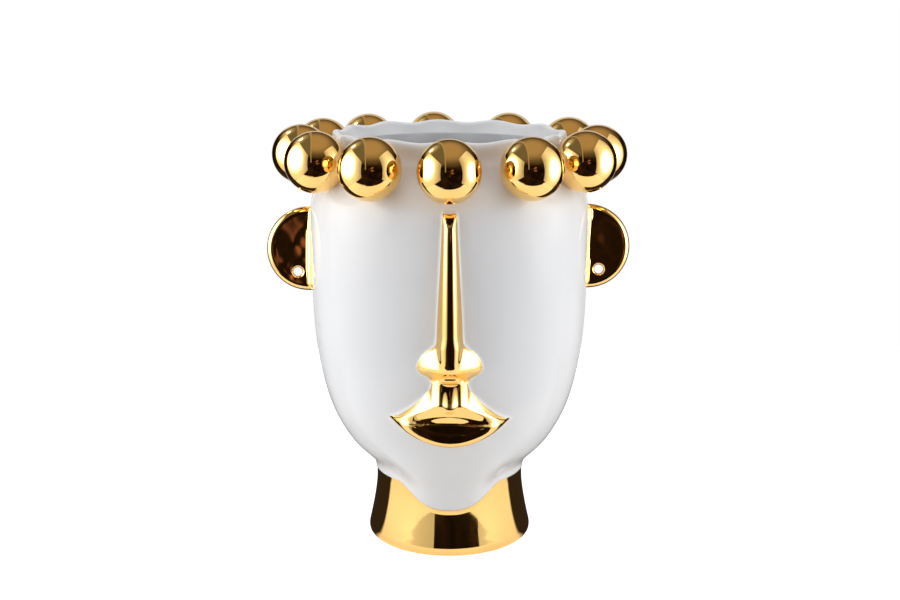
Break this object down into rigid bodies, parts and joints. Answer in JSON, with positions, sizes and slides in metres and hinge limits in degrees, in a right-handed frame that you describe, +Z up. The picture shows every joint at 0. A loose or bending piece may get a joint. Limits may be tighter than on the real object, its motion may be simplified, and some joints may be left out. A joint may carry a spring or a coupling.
{
  "type": "face vase",
  "caption": "White ceramic flower vase shaped as an abstract head on a gilded neck, with gilded nose, mouth, pierced ears and a crown of hollow balls around a waved rim.",
  "frame": {"origin": "middle of the foot, on the surface that the vase stands on", "axes": "+Z up through the mouth, the face looks along -Y, +X to the viewer's right"},
  "size_m": [0.299, 0.2872, 0.3465],
  "materials": {
    "white_glaze": "clear gloss glaze over white stoneware body",
    "gold_lustre": "fired gold lustre over glaze, mirror bright"
  },
  "bodies": {
    "root": {"head_shell": "white_glaze", "neck_foot": "gold_lustre", "nose": "gold_lustre", "mouth": "gold_lustre", "ear_left": "gold_lustre", "ear_right": "gold_lustre", "ball_01": "gold_lustre", "ball_02": "gold_lustre", "ball_03": "gold_lustre", "ball_04": "gold_lustre", "ball_05": "gold_lustre", "ball_06": "gold_lustre", "ball_07": "gold_lustre", "ball_08": "gold_lustre", "ball_09": "gold_lustre", "ball_10": "gold_lustre", "ball_11": "gold_lustre", "ball_12": "gold_lustre"}
  },
  "joints": []
}
